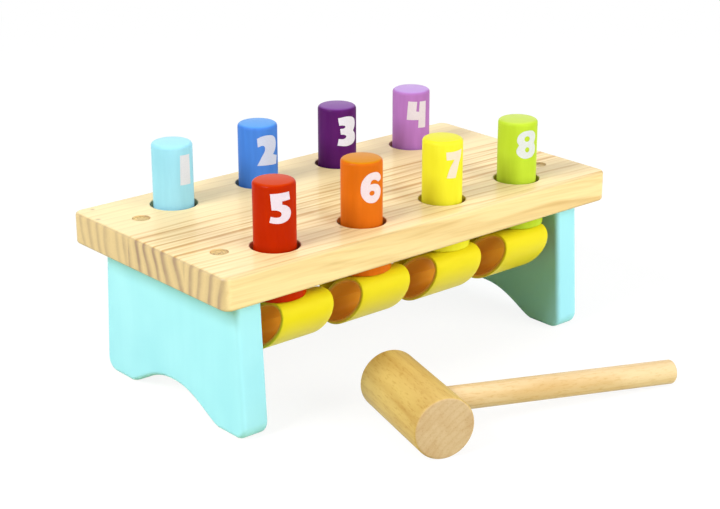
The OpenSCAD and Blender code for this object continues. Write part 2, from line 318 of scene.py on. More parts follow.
        spot = addNode(tree, "ShaderNodeMapRange",
                       {"From Min": size * dark, "From Max": size * gone, "To Min": p["knotStrength"],
                        "To Max": 0.0}, {"Value": away}).outputs[0]
        wood = addNode(tree, "ShaderNodeMix", {"data_type": "RGBA", 7: linearColour(p["knotColour"])},
                       {0: spot, 6: wood}).outputs[2]

    # fibres in tone and relief, and painted shade that darkens the rounded edges
    fibreSpace = addNode(tree, "ShaderNodeMapping", {"Scale": p["fibreSpace"]},
                         {"Vector": leant}).outputs[0]
    fibre = addNode(tree, "ShaderNodeTexNoise", {"Scale": 1.0, "Detail": 3.0, "Roughness": 0.6},
                    {"Vector": fibreSpace}).outputs["Fac"]
    fibreShade = addNode(tree, "ShaderNodeMapRange", p["fibres"], {"Value": fibre}).outputs[0]
    upward = addNode(tree, "ShaderNodeMath", {"operation": "MULTIPLY"},
                     {0: normal.outputs["Z"], 1: normal.outputs["Z"]}).outputs[0]
    rounding = addNode(tree, "ShaderNodeMath", {"operation": "PINGPONG", 1: 0.5}, {0: upward}).outputs[0]
    edgeShade = addNode(tree, "ShaderNodeMapRange", p["paintedEdgeShade"], {"Value": rounding}).outputs[0]
    shade = addNode(tree, "ShaderNodeMath", {"operation": "MULTIPLY"},
                    {0: fibreShade, 1: edgeShade}).outputs[0]
    shaded = addNode(tree, "ShaderNodeVectorMath", {"operation": "SCALE"},
                     {0: wood, "Scale": shade}).outputs[0]
    bump = addNode(tree, "ShaderNodeBump", p["relief"], {"Height": fibre}).outputs[0]
    shader = addNode(tree, "ShaderNodeBsdfPrincipled", p["finish"], {"Base Color": shaded, "Normal": bump})
    finishMaterial(tree, shader)
    return material


turnedWood = {  # pith is where the rings' middle lies, in metres, and ring their spacing in mm
    "head": {"pale": "#CEB066", "dark": "#B18840", "end": "#C9AF8B", "endDark": "#B8966C",
             "pith": (0.05, 0.02, -0.07), "ring": 4.2, "fleck": 0.5},
    "handle": {"pale": "#DBC297", "dark": "#C39E64", "end": "#CBAE84", "endDark": "#B5946A",
               "pith": (0.02, 0.03, -0.05), "ring": 3.4, "fleck": 0.45},
    "plug": {"pale": "#D4B474", "dark": "#B48A48", "end": "#DABD7C", "endDark": "#6A4A22",
             "pith": (0.3, 0.2, 0.0), "ring": 2.6, "fleck": 0.9},
    # features per metre across the grain, and how much they are drawn out along it
    "fleckSpace": 850.0, "mottleSpace": 90.0, "drawnOut": 0.2,
    "flecks": {"From Min": 0.52, "From Max": 0.7},
    "mottling": {"From Min": 0.38, "From Max": 0.66, "To Max": 0.5},
    "growthLine": [(0.0, 0.28), (0.1, 0.0), (0.6, 0.0), (0.96, 0.28)],
    "ends": {"From Min": 0.6, "From Max": 0.95},  # how squarely a face has to look along the grain
    "relief": {"Strength": 0.25, "Distance": 0.0001},
    "finish": {"Roughness": 0.5, "IOR": 1.5, "Specular IOR Level": 0.35},
}


def turnedWoodMaterial(name, part, along, p):
    # turned beech, sanded and oiled: short brown flecks along the grain, growth lines, a duller end grain
    # along is the grain's direction as a unit vector
    tones = p[part]
    material, tree = newMaterial(name)
    coordinates = addNode(tree, "ShaderNodeTexCoord")
    place = coordinates.outputs["Object"]
    depth = addNode(tree, "ShaderNodeVectorMath", {"operation": "DOT_PRODUCT", 1: along},
                    {0: place}).outputs["Value"]
    alongPart = addNode(tree, "ShaderNodeVectorMath", {"operation": "SCALE", 0: along},
                        {"Scale": depth}).outputs[0]
    acrossPart = addNode(tree, "ShaderNodeVectorMath", {"operation": "SUBTRACT"},
                         {0: place, 1: alongPart}).outputs[0]
    squeezed = addNode(tree, "ShaderNodeVectorMath", {"operation": "MULTIPLY_ADD", 1: (p["drawnOut"],) * 3},
                       {0: alongPart, 2: acrossPart}).outputs[0]
    fleck = addNode(tree, "ShaderNodeTexNoise", {"Scale": p["fleckSpace"], "Detail": 3.0, "Roughness": 0.65},
                    {"Vector": squeezed}).outputs["Fac"]
    fleckMask = addNode(tree, "ShaderNodeMapRange", {**p["flecks"], "To Max": tones["fleck"]},
                        {"Value": fleck}).outputs[0]
    mottle = addNode(tree, "ShaderNodeTexNoise",
                     {"Scale": p["mottleSpace"], "Detail": 3.0, "Roughness": 0.55},
                     {"Vector": squeezed}).outputs["Fac"]
    mottleMask = addNode(tree, "ShaderNodeMapRange", p["mottling"], {"Value": mottle}).outputs[0]
    fromPith = addNode(tree, "ShaderNodeVectorMath", {"operation": "SUBTRACT", 1: tones["pith"]},
                       {0: acrossPart}).outputs[0]
    radius = addNode(tree, "ShaderNodeVectorMath", {"operation": "LENGTH"}, {0: fromPith}).outputs["Value"]
    ringAt = addNode(tree, "ShaderNodeMath",
                     {"operation": "MULTIPLY_ADD", 1: 1 / millimetre / tones["ring"]},
                     {0: radius, 2: mottle}).outputs[0]
    phase = addNode(tree, "ShaderNodeMath", {"operation": "FRACT"}, {0: ringAt}).outputs[0]
    growthLine = addNode(tree, "ShaderNodeValToRGB", {"stops": p["growthLine"]},
                         {"Fac": phase}).outputs["Color"]
    stained = addNode(tree, "ShaderNodeMath", {"operation": "ADD"},
                      {0: fleckMask, 1: mottleMask}).outputs[0]
    amount = addNode(tree, "ShaderNodeMath", {"operation": "ADD", "use_clamp": True},
                     {0: stained, 1: growthLine}).outputs[0]
    side, end = (addNode(tree, "ShaderNodeMix",
                         {"data_type": "RGBA", 6: linearColour(tones[pale]), 7: linearColour(tones[dark])},
                         {0: amount}).outputs[2] for pale, dark in (("pale", "dark"), ("end", "endDark")))
    facing = addNode(tree, "ShaderNodeVectorMath", {"operation": "DOT_PRODUCT", 1: along},
                     {0: coordinates.outputs["Normal"]}).outputs["Value"]
    facingEnd = addNode(tree, "ShaderNodeMath", {"operation": "ABSOLUTE"}, {0: facing}).outputs[0]
    endMask = addNode(tree, "ShaderNodeMapRange", p["ends"], {"Value": facingEnd}).outputs[0]
    wood = addNode(tree, "ShaderNodeMix", {"data_type": "RGBA"},
                   {0: endMask, 6: side, 7: end}).outputs[2]
    bump = addNode(tree, "ShaderNodeBump", p["relief"], {"Height": fleck}).outputs[0]
    shader = addNode(tree, "ShaderNodeBsdfPrincipled", p["finish"], {"Base Color": wood, "Normal": bump})
    finishMaterial(tree, shader)
    return material


enamel = {  # grain: features per metre across and up the piece
    "legs": {"roughness": 0.5, "coat": 0.05, "grain": (60, 60, 8)},
    "pegs": {"roughness": 0.3, "coat": 0.05, "grain": (260, 260, 30)},
    "legTones": ("#A7E7FA", "#9FE1F5", "#A7E7FA"), "driftSpace": 35.0,
    # the second range here says how squarely a face must point up to take the painted sheen of the top
    "streaks": {"From Min": 0.12, "From Max": 0.42}, "paintedTopSheen": {"From Min": 0.6, "From Max": 0.95},
    "relief": {"Strength": 0.2, "Distance": 0.00012},
    "finish": {"IOR": 1.5, "Specular IOR Level": 0.02, "Coat Roughness": 0.15},
}


def paintMaterial(name, part, tones, p):
    # sprayed water-based enamel on sanded wood: even colour, a faint drift in tone, the grain in relief
    # tones: the colour, its deeper streaks, and a paler tone on top that is a painted sheen
    colour, deep, paintedTopSheen = map(linearColour, tones)
    material, tree = newMaterial(name)
    coordinates = addNode(tree, "ShaderNodeTexCoord")
    place = coordinates.outputs["Object"]
    streaks = addNode(tree, "ShaderNodeMapping", {"Scale": p[part]["grain"]}, {"Vector": place}).outputs[0]
    streak = addNode(tree, "ShaderNodeTexNoise", {"Scale": 1.0, "Detail": 3.0, "Roughness": 0.55},
                     {"Vector": streaks}).outputs["Fac"]
    drift = addNode(tree, "ShaderNodeTexNoise", {"Scale": p["driftSpace"], "Detail": 1.0},
                    {"Vector": place}).outputs["Fac"]
    both = addNode(tree, "ShaderNodeMath", {"operation": "MULTIPLY"}, {0: streak, 1: drift}).outputs[0]
    tone = addNode(tree, "ShaderNodeMapRange", p["streaks"], {"Value": both}).outputs[0]
    mixed = addNode(tree, "ShaderNodeMix", {"data_type": "RGBA", 6: deep, 7: colour}, {0: tone}).outputs[2]
    # the upward faces are painted paler: a painted sheen on the top
    upward = addNode(tree, "ShaderNodeSeparateXYZ", links={0: coordinates.outputs["Normal"]}).outputs["Z"]
    onTop = addNode(tree, "ShaderNodeMapRange", p["paintedTopSheen"], {"Value": upward}).outputs[0]
    painted = addNode(tree, "ShaderNodeMix", {"data_type": "RGBA", 7: paintedTopSheen},
                      {0: onTop, 6: mixed}).outputs[2]
    bump = addNode(tree, "ShaderNodeBump", p["relief"], {"Height": streak}).outputs[0]
    shader = addNode(tree, "ShaderNodeBsdfPrincipled",
                     {**p["finish"], "Roughness": p[part]["roughness"], "Coat Weight": p[part]["coat"]},
                     {"Base Color": painted, "Normal": bump})
    finishMaterial(tree, shader)
    return material


loopPlastic = {
    # the inner side's darker orange is painted shade where the strip faces into the loop
    "outside": "#E2D41C", "paintedShadeInside": "#D8941C",
    "paintedGlowOutside": "#2C2602", "paintedGlowInside": "#543B0F",  # painted glow on each side, standing in for light that shines through the thin strip
    "rippleSpace": 260.0, "relief": {"Strength": 0.08, "Distance": 0.0002},
    "finish": {"Roughness": 0.42, "IOR": 1.49, "Specular IOR Level": 0.22, "Subsurface Weight": 0.12,
               "Subsurface Radius": (0.004, 0.003, 0.001), "Subsurface Scale": 0.4, "Emission Strength": 1.0},
}


def loopPlasticMaterial(p):
    # extruded polypropylene strip, rolled warm: soft gloss; the inner side is painted a darker orange as
    # painted shade, and both sides take a weak painted glow
    material, tree = newMaterial("polypropyleneStrip")
    inner = addNode(tree, "ShaderNodeAttribute", {"attribute_name": "innerSide"}).outputs["Fac"]
    body, paintedGlow = (addNode(tree, "ShaderNodeMix",
                             {"data_type": "RGBA", 6: linearColour(p[outside]), 7: linearColour(p[paintedShadeInside])},
                             {0: inner}).outputs[2]
                     for outside, paintedShadeInside in (("outside", "paintedShadeInside"), ("paintedGlowOutside", "paintedGlowInside")))
    place = addNode(tree, "ShaderNodeTexCoord").outputs["Object"]
    ripple = addNode(tree, "ShaderNodeTexNoise", {"Scale": p["rippleSpace"], "Detail": 2.0},
                     {"Vector": place}).outputs["Fac"]
    bump = addNode(tree, "ShaderNodeBump", p["relief"], {"Height": ripple}).outputs[0]
    shader = addNode(tree, "ShaderNodeBsdfPrincipled", p["finish"],
                     {"Base Color": body, "Normal": bump, "Emission Color": paintedGlow})
    finishMaterial(tree, shader)
    return material


# speckSpace: specks per metre, at: where the two tones lie on the noise
printInk = {"speckSpace": 1800.0, "detail": 1.0, "at": (0.3, 0.7), "finish": {"Roughness": 0.45, "IOR": 1.5}}
zincPlate = {"speckSpace": 2500.0, "detail": 2.0, "at": (0.3, 0.7), "tones": ("#B4B8BE", "#CDD0D4"),
             "roughness": (0.25, 0.5)}


def speckledTone(tree, p, low, high):
    # the noise and the tone it gives, for finishes that differ from speck to speck
    place = addNode(tree, "ShaderNodeTexCoord").outputs["Object"]
    speck = addNode(tree, "ShaderNodeTexNoise", {"Scale": p["speckSpace"], "Detail": p["detail"]},
                    {"Vector": place}).outputs["Fac"]
    tone = addNode(tree, "ShaderNodeValToRGB", {"stops": list(zip(p["at"], (low, high)))},
                   {"Fac": speck}).outputs["Color"]
    return speck, tone


def inkMaterial(name, pale, deep, p):
    # screen-printed white ink: thin and matt, a fine grain, and the peg's colour shows through a little
    material, tree = newMaterial(name)
    tone = speckledTone(tree, p, deep, pale)[1]
    shader = addNode(tree, "ShaderNodeBsdfPrincipled", p["finish"], {"Base Color": tone})
    finishMaterial(tree, shader)
    return material


def zincMaterial(p):
    # zinc-plated steel screws: bluish grey, brushed by the tumbling drum
    material, tree = newMaterial("zincPlatedSteel")
    scuff, tone = speckledTone(tree, p, *p["tones"])
    smooth, rough = p["roughness"]
    roughness = addNode(tree, "ShaderNodeMapRange", {"To Min": smooth, "To Max": rough},
                        {"Value": scuff}).outputs[0]
    shader = addNode(tree, "ShaderNodeBsdfPrincipled", {"Metallic": 1.0},
                     {"Base Color": tone, "Roughness": roughness})
    finishMaterial(tree, shader)
    return material


pineBoard = pineMaterial(pine)
legPaint = paintMaterial("aquaEnamel", "legs", enamel["legTones"], enamel)
plastic = loopPlasticMaterial(loopPlastic)
zinc = zincMaterial(zincPlate)
print("materials made")

board = {
    "cornerRadius": 6.0, "cornerSteps": 10, "edgeRadius": 2.0, "edgeSteps": 5,
    "holeRadius": 14.4, "rimRadius": 0.7, "rimSteps": 4, "turnSteps": 64,
    "plugHoleRadius": 5.35, "plugHoleDepth": 8.0, "plugRimRadius": 0.3,
}


def holeCutter(x, y, radius, rim, low, high, blindDepth=None):
    # a plug with trumpet ends, so that what it cuts has a softened rim
    bottom = low - 2 * rim if blindDepth is None else high - blindDepth
    bm = bmesh.new()
    points = [(0, bottom), (radius, bottom)]
    if blindDepth is None:
        points = [(0, bottom), (radius + rim, bottom)]
        for i in range(board["rimSteps"] + 1):
            a = math.radians(90 * i / board["rimSteps"])
            points.append((radius + rim - rim * math.sin(a), low + rim - rim * math.cos(a)))
    for i in range(board["rimSteps"] + 1):
        a = math.radians(90 * i / board["rimSteps"])
        points.append((radius + rim - rim * math.cos(a), high - rim + rim * math.sin(a)))
    points += [(radius + rim, high + 2 * rim), (0, high + 2 * rim)]
    verts = [bm.verts.new((r, 0, z)) for r, z in points]
    edges = [bm.edges.new(pair) for pair in zip(verts, verts[1:])]
    bmesh.ops.spin(bm, geom=verts + edges, cent=(0, 0, 0), axis=(0, 0, 1), angle=2 * math.pi,
                   steps=board["turnSteps"], use_merge=True)
    bmesh.ops.remove_doubles(bm, verts=bm.verts, dist=weldReach)
    bmesh.ops.recalc_face_normals(bm, faces=bm.faces)
    bmesh.ops.translate(bm, verts=bm.verts, vec=(x, y, 0))
    return bm


def makeBoard(b):
    bm = bmesh.new()
    bmesh.ops.create_cube(bm, size=1)
    bmesh.ops.scale(bm, verts=bm.verts, vec=boardHigh - boardLow)
    bmesh.ops.translate(bm, verts=bm.verts, vec=benchMid)
    upright = [e for e in bm.edges if abs(e.verts[0].co.z - e.verts[1].co.z) > tiny]
    roundOff(bm, upright, b["cornerRadius"] * millimetre, b["cornerSteps"])
    rims = [e for e in bm.edges if abs(e.verts[0].co.z - e.verts[1].co.z) < tiny
            and e.calc_face_angle() > 1]
    roundOff(bm, rims, b["edgeRadius"] * millimetre, b["edgeSteps"])
    piece = meshPiece("boardPlank", bm, pineBoard, None)
    cutters = []
    for k in range(1, 9):
        low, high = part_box(f"peg_{k}")
        middle = (low + high) / 2
        cutters.append(holeCutter(middle.x, middle.y, b["holeRadius"] * millimetre,
                                  b["rimRadius"] * millimetre, boardLow.z, boardHigh.z))
    low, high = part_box("screw_plugs")
    inset = b["plugHoleRadius"] * millimetre
    for x in (low.x + inset, high.x - inset):
        for y in (low.y + inset, high.y - inset):
            cutters.append(holeCutter(x, y, inset, b["plugRimRadius"] * millimetre, boardLow.z,
                                      boardHigh.z, b["plugHoleDepth"] * millimetre))
    joined = bmesh.new()
    for cutter in cutters:
        mergeInto(joined, cutter)
    toolMesh = bpy.data.meshes.new("drill")
    joined.to_mesh(toolMesh)
    joined.free()
    tool = bpy.data.objects.new("drill", toolMesh)
    scene.collection.objects.link(tool)
    cut = piece.modifiers.new("holes", "BOOLEAN")
    cut.object, cut.operation, cut.solver = tool, "DIFFERENCE", "EXACT"
    bakeModifiers(piece)
    bpy.data.objects.remove(tool)
    smoothShade(piece.data)
    evenShade(piece)
    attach(piece, "bench")
    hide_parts("top_board")


makeBoard(board)

plug = {"radius": 5.3, "chamfer": 0.4, "steps": 40, "chamferSteps": 3}


def makePlugs(p):
    low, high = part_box("screw_plugs")
    reach = p["radius"] * millimetre
    wood = turnedWoodMaterial("beechPlug", "plug", (0, 0, 1), turnedWood)
    whole = bmesh.new()
    for x in (low.x + reach, high.x - reach):
        for y in (low.y + reach, high.y - reach):
            bm = turnedShape([(0, low.z, 0), (reach, low.z, 0), (reach, high.z, p["chamfer"] * millimetre),
                              (0, high.z, 0)], steps=p["steps"], bevelSteps=p["chamferSteps"])
            bmesh.ops.translate(bm, verts=bm.verts, vec=(x, y, 0))
            mergeInto(whole, bm)
    meshPiece("screwPlugs", whole, wood, "bench", ("screw_plugs",))


makePlugs(plug)
print("board and plugs made")

leg = {
    "height": 84.4, "topHalf": 65.4, "footHalf": 70.5,
    "cornerRadius": 9.0, "cornerSteps": 8, "edgeRadius": 3.0, "edgeSteps": 5,
    "archHalf": 44.0, "archHeight": 15.0, "archSteps": 28, "archPower": 2.2, "archTail": 1.5,
}


def makeLeg(name, node, p):
    low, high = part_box(node)
    bm = bmesh.new()
    steps = p["archSteps"]
    arch = [(-p["archHalf"] + 2 * p["archHalf"] * i / steps) for i in range(steps + 1)]
    outline = [(-p["topHalf"], p["height"]), (-p["footHalf"], 0)]
    outline += [(y, p["archHeight"] * (1 - abs(y / p["archHalf"]) ** p["archPower"]) ** p["archTail"])
                for y in arch]
    outline += [(p["footHalf"], 0), (p["topHalf"], p["height"])]
    verts = [bm.verts.new((low.x, benchY + y * millimetre, z * millimetre)) for y, z in outline]
    bm.faces.new(verts)
    roundOff(bm, [verts[1], verts[-2]], p["cornerRadius"] * millimetre, p["cornerSteps"], "VERTICES")
    grown = bmesh.ops.extrude_face_region(bm, geom=bm.faces[:])
    bmesh.ops.translate(bm, verts=[v for v in grown["geom"] if isinstance(v, bmesh.types.BMVert)],
                        vec=(high.x - low.x, 0, 0))
    bmesh.ops.recalc_face_normals(bm, faces=bm.faces)
    rims = [e for e in bm.edges if abs(e.verts[0].co.x - e.verts[1].co.x) < tiny
            and not all(v.co.z > p["height"] * millimetre - tiny for v in e.verts)]
    roundOff(bm, rims, p["edgeRadius"] * millimetre, p["edgeSteps"])
    evenShade(meshPiece(name, bm, legPaint, "bench", (node,)))


makeLeg("leftLeg", "left_leg", leg)
makeLeg("rightLeg", "right_leg", leg)
print("legs made")

pegs = {
    "radius": 12.4, "topRounding": 2.2, "collarRadius": 17.5, "collarHeight": 8.9, "collarRounding": 1.0,
    # enamel on the sides, its deeper streaks, and a paler tone on top, which is a painted sheen
    "colours": [("#9BD8EF", "#91CEE6", "#A0DAE7"), ("#467FD9", "#4276CD", "#5999DE"),
                ("#561E65", "#4E185C", "#7D4B95"), ("#AF75BD", "#A56DB2", "#BA94D3"),
                ("#B62800", "#AA2200", "#C23900"), ("#D56C16", "#CA6410", "#CB8200"),
                ("#E6E23A", "#DED92C", "#DED927"), ("#BAD53B", "#B0CB31", "#C0D54F")],
    "inkThickness": 0.05, "figureStretch": 0.94, "curveSteps": 8, "printStrip": 0.5,
}

# chunky toy numerals in mm, from their own middle line and foot; a third value marks a rounded point
# turn: degrees round the peg from its front, drop: mm from the peg's top
figures = [
    {"ink": ("#D5DCEA", "#CDD6E6"), "turn": -4, "drop": 5.7, "rings": [
        [(-3.5, 20), (3.6, 19.7), (3.9, 0), (-3.9, 0.4)]]},
    {"ink": ("#C2CCE8", "#B8C3E4"), "turn": 3.8, "drop": 5.4, "rings": [
        [(-7.6, 19.2), (-5, 20.5, 1), (-0.8, 21, 1), (4, 19.6, 1), (6.6, 15.6, 1), (6.2, 11.5, 1),
         (3.4, 7.2), (7.8, 5.6), (6.7, 0), (-1, 0.6, 1), (-7.8, 0.8), (-5, 6.4, 1), (-2.6, 12.4, 1),
         (-3.6, 14.2, 1), (-7.2, 13.4)]]},
    {"ink": ("#DCDEEF", "#D2D2E5"), "turn": 5.6, "drop": 5.0, "rings": [
        [(-6.8, 20), (0.6, 20.6, 1), (5.4, 18.4, 1), (6.8, 14, 1), (4.6, 9.8), (6.8, 7, 1),
         (6.8, 3, 1), (1.2, 0.1, 1), (-7.2, 0.7), (-6.4, 5.4), (-2.4, 5.4, 1), (-1.3, 6.7, 1),
         (-2.4, 8, 1), (-5, 8.4), (-5.4, 12.4), (-2.6, 12.8, 1), (-1.9, 13.8, 1), (-3, 14.6, 1),
         (-6, 14.8)]]},
    {"ink": ("#D8D1DC", "#D0C7D6"), "turn": 23.1, "drop": 5.9, "rings": [
        [(-6, 19.8), (0, 19.4), (-0.6, 12.4), (1.4, 12), (1.8, 19.4), (7, 19.2), (6.7, 0), (0.8, 0.4),
         (1.1, 6.1), (-7, 6.4)]]},
    {"ink": ("#DED2E6", "#D8C8DE"), "turn": 20.7, "drop": 4.2, "rings": [
        [(-6, 18.2), (5.3, 18.8), (6.1, 13.8), (0.8, 13.4), (0.8, 11.4), (4, 10, 1), (6.5, 6.4, 1),
         (5.6, 2.4, 1), (1.6, 0.1, 1), (-3, -0.2, 1), (-6.6, 0.5), (-5.8, 4.2), (-2.6, 3.6, 1),
         (-0.2, 4.2, 1), (0.3, 5.9, 1), (-1.2, 7.6, 1), (-5.2, 8.2)]]},
    {"ink": ("#E2D3E0", "#DCC8D4"), "turn": 11.0, "drop": 5.9, "rings": [
        [(4.4, 12.9), (2.6, 14.4, 1), (0, 14.6, 1), (-1.4, 12), (1.8, 12.1, 1), (5.6, 9.8, 1),
         (7, 5.6, 1), (4.4, 1.4, 1), (-0.5, 0, 1), (-4.9, 2.4, 1), (-7, 9, 1), (-4, 17.4, 1),
         (1.2, 19.6, 1), (5.6, 17.8, 1), (7, 14.4, 1)],
        [(-0.2, 8, 1), (1.6, 6.4, 1), (0, 4.8, 1), (-1.8, 6.3, 1)]]},
    {"ink": ("#E7D7CA", "#E3D1BC"), "turn": 5.5, "drop": 5.5, "rings": [
        [(-6, 17.6), (0, 17.7, 1), (6, 18.2), (5.4, 14.4, 1), (3, 8.5, 1), (0.7, 0), (-5.4, 0.4),
         (-3.6, 6.6, 1), (-0.4, 12.4), (-5.6, 12.3)]]},
    {"ink": ("#D4D8DF", "#CACFD3"), "turn": 15.5, "drop": 4.9, "rings": [
        [(0.6, 18.9, 1), (5.4, 17.2, 1), (6.8, 13.4, 1), (5.5, 9.8), (7, 6, 1), (5.8, 2, 1),
         (1.4, 0, 1), (-4, 0.8, 1), (-7, 4.8, 1), (-5.5, 9.2), (-6.8, 12.4, 1), (-4.8, 17.2, 1)],
        [(-0.3, 15.2, 1), (1.6, 13.2, 1), (-0.3, 11.4, 1), (-2.1, 13.3, 1)],
        [(0, 7.6, 1), (1.6, 5.8, 1), (0, 4.1, 1), (-1.5, 5.8, 1)]]},
]


def makePeg(k, p):
    low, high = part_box(f"peg_{k}")
    middle = (low + high) / 2
    pegR, collarR = p["radius"] * millimetre, p["collarRadius"] * millimetre
    shoulder = low.z + p["collarHeight"] * millimetre
    collarRound = p["collarRounding"] * millimetre
    bm = turnedShape([(0, low.z, 0), (collarR, low.z, collarRound), (collarR, shoulder, collarRound),
                      (pegR, shoulder, 0), (pegR, high.z, p["topRounding"] * millimetre), (0, high.z, 0)])
    bmesh.ops.translate(bm, verts=bm.verts, vec=(middle.x, middle.y, 0))
    paint = paintMaterial(f"pegEnamel{k}", "pegs", p["colours"][k - 1], enamel)
    meshPiece(f"peg{k}", bm, paint, f"peg_{k}", (f"peg_{k}",))


def makeFigure(k, p):
    low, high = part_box(f"peg_{k}")
    middle = (low + high) / 2
    figure = figures[k - 1]
    outline = bpy.data.curves.new("figure", "CURVE")
    outline.dimensions, outline.fill_mode, outline.resolution_u = "2D", "BOTH", p["curveSteps"]
    for ring in figure["rings"]:
        line = outline.splines.new("BEZIER")
        line.bezier_points.add(len(ring) - 1)
        line.use_cyclic_u = True
        for point, (x, y, *rounded) in zip(line.bezier_points, ring):
            point.co = (x * millimetre, y * p["figureStretch"] * millimetre, 0)
            point.handle_left_type = point.handle_right_type = "AUTO" if rounded else "VECTOR"
    sign = bpy.data.objects.new("figure", outline)
    scene.collection.objects.link(sign)
    graph = bpy.context.evaluated_depsgraph_get()
    flat = bpy.data.meshes.new_from_object(sign.evaluated_get(graph))
    bpy.data.objects.remove(sign)
    bm = bmesh.new()
    bm.from_mesh(flat)
    bpy.data.meshes.remove(flat)
    bmesh.ops.remove_doubles(bm, verts=bm.verts, dist=tiny)
    height = max(v.co.y for v in bm.verts)
    half = max(abs(v.co.x) for v in bm.verts)
    width = p["printStrip"] * millimetre
    cuts = int(half / width)
    for i in range(-cuts, cuts + 1):  # narrow strips, so that the print can follow the round peg
        bmesh.ops.bisect_plane(bm, geom=bm.verts[:] + bm.edges[:] + bm.faces[:], dist=weldReach,
                               plane_co=(i * width, 0, 0), plane_no=(1, 0, 0))
    radius = (p["radius"] + p["inkThickness"]) * millimetre
    foot = high.z - figure["drop"] * millimetre - height
    for v in bm.verts:
        angle = v.co.x / radius - math.radians(figure["turn"])
        v.co = (middle.x + radius * math.sin(angle), middle.y - radius * math.cos(angle), foot + v.co.y)
    bmesh.ops.recalc_face_normals(bm, faces=bm.faces)
    axis = Vector((middle.x, middle.y, foot))
    outward = sum(f.normal.dot(f.calc_center_median() - axis) * f.calc_area() for f in bm.faces)
    if outward < 0:
        bmesh.ops.reverse_faces(bm, faces=bm.faces)
    ink = inkMaterial(f"screenPrintInk{k}", *figure["ink"], printInk)
    meshPiece(f"figure{k}", bm, ink, f"peg_{k}")


for k in range(1, 9):
    makePeg(k, pegs)
    makeFigure(k, pegs)
print("pegs and figures made")

spring = {
    "thickness": 2.6, "loopLong": 46.8, "loopShort": 23.8, "lean": 40, "loopOut": 49.7,
    "footOut": 6.3, "tailOut": 30.0, "bendRadius": 4.0, "lip": 0.6, "lipSteps": 3, "smoothAngle": 50,
    "footSteps": 6, "bendSteps": 8, "tailSteps": 10, "loopSteps": 96, "loopKept": 92, "bandsAcross": 6,
    "easing": 3,  # how late the tail swings in to the loop
    "innerReach": 1.5,  # how far from the loop's middle the strip still counts as its inner side
    "givesFrom": (-1.3, -2.0), "givesOver": (11.54, -6.66),  # (out, up) in mm, where the strip gives way
}


def stripPath(s, loopZ):
    # centre line of the strip in (out, height): foot, bend, tail, and once round the leaning loop
    t = s["thickness"]
    a, b, lean = s["loopLong"] / 2 - t / 2, s["loopShort"] / 2 - t / 2, math.radians(s["lean"])
    top = boardLow.z / millimetre - t / 2
    bend = s["bendRadius"] + t / 2
    flat = s["tailOut"] - bend - s["footOut"]
    path = [(s["footOut"] + flat * i / s["footSteps"], top) for i in range(s["footSteps"] + 1)]
    for i in range(1, s["bendSteps"] + 1):
        angle = math.radians(90 * i / s["bendSteps"])
        path.append((s["tailOut"] - bend + bend * math.sin(angle), top - bend + bend * math.cos(angle)))
    loop = []
    count = s["loopSteps"]
    for i in range(count):
        angle = 2 * math.pi * i / count
        y = -a * math.cos(angle) * math.cos(lean) + b * math.sin(angle) * math.sin(lean)
        z = a * math.cos(angle) * math.sin(lean) + b * math.sin(angle) * math.cos(lean)
        loop.append((s["loopOut"] - y, loopZ + z))
    start = min(range(count), key=lambda i: loop[i][0])
    downwards = 1 if loop[(start + 1) % count][1] < loop[start][1] else -1
    ring = [loop[(start + downwards * i) % count] for i in range(count)]
    tailTop, (loopSide, tailLow) = path[-1][1], ring[0]
    for i in range(1, s["tailSteps"]):
        share = i / s["tailSteps"]
        path.append((s["tailOut"] + (loopSide - s["tailOut"]) * share ** s["easing"],
                     tailTop + (tailLow - tailTop) * share))
    return path + ring[:s["loopKept"]]


def makeSpring(k, s):
    low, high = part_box(f"spring_{k}")
    side = -1 if (low.y + high.y) / 2 < benchY else 1
    t = s["thickness"]
    lean = math.radians(s["lean"])
    halfHeight = math.hypot(s["loopLong"] / 2 * math.sin(lean), s["loopShort"] / 2 * math.cos(lean))
    loopZ = low.z / millimetre + halfHeight
    bm = bmesh.new()
    rail = [bm.verts.new((low.x, benchY + side * out * millimetre, height * millimetre))
            for out, height in stripPath(s, loopZ)]
    edges = [bm.edges.new(pair) for pair in zip(rail, rail[1:])]
    for i in range(s["bandsAcross"]):
        grown = bmesh.ops.extrude_edge_only(bm, edges=edges)["geom"]
        edges = [g for g in grown if isinstance(g, bmesh.types.BMEdge)]
        bmesh.ops.translate(bm, verts=[g for g in grown if isinstance(g, bmesh.types.BMVert)],
                            vec=((high.x - low.x) / s["bandsAcross"], 0, 0))
    bmesh.ops.recalc_face_normals(bm, faces=bm.faces)
    piece = meshPiece(f"loop{k}", bm, plastic, None, smoothAngle=s["smoothAngle"])
    thick = piece.modifiers.new("thick", "SOLIDIFY")
    thick.thickness, thick.offset = t * millimetre, 0
    lips = piece.modifiers.new("lips", "BEVEL")
    lips.width, lips.segments = s["lip"] * millimetre, s["lipSteps"]
    lips.limit_method, lips.angle_limit = "ANGLE", math.radians(60)
    bakeModifiers(piece)
    mesh = piece.data
    smoothShade(mesh, s["smoothAngle"])
    # marks what faces the loop's middle, where the strip is painted a darker orange as painted shade
    a, b = s["loopLong"] / 2 - t / 2, s["loopShort"] / 2 - t / 2
    inner = mesh.attributes.new("innerSide", "FLOAT", "POINT")
    values = []
    for v in mesh.vertices:
        out = side * (v.co.y - benchY) / millimetre - s["loopOut"]
        up = v.co.z / millimetre - loopZ
        major = out * math.cos(lean) + up * math.sin(lean)
        minor = -out * math.sin(lean) + up * math.cos(lean)
        facesMiddle = v.normal.y * side * out + v.normal.z * up < 0
        near = (major / a) ** 2 + (minor / b) ** 2 < s["innerReach"]
        values.append(1.0 if facesMiddle and near else 0.0)
    inner.data.foreach_set("value", values)
    out, up = s["givesFrom"]
    out, up = s["givesOver"]
    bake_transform(piece)
    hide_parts(f"spring_{k}")


for k in range(1, 9):
    makeSpring(k, spring)
print("springs made")

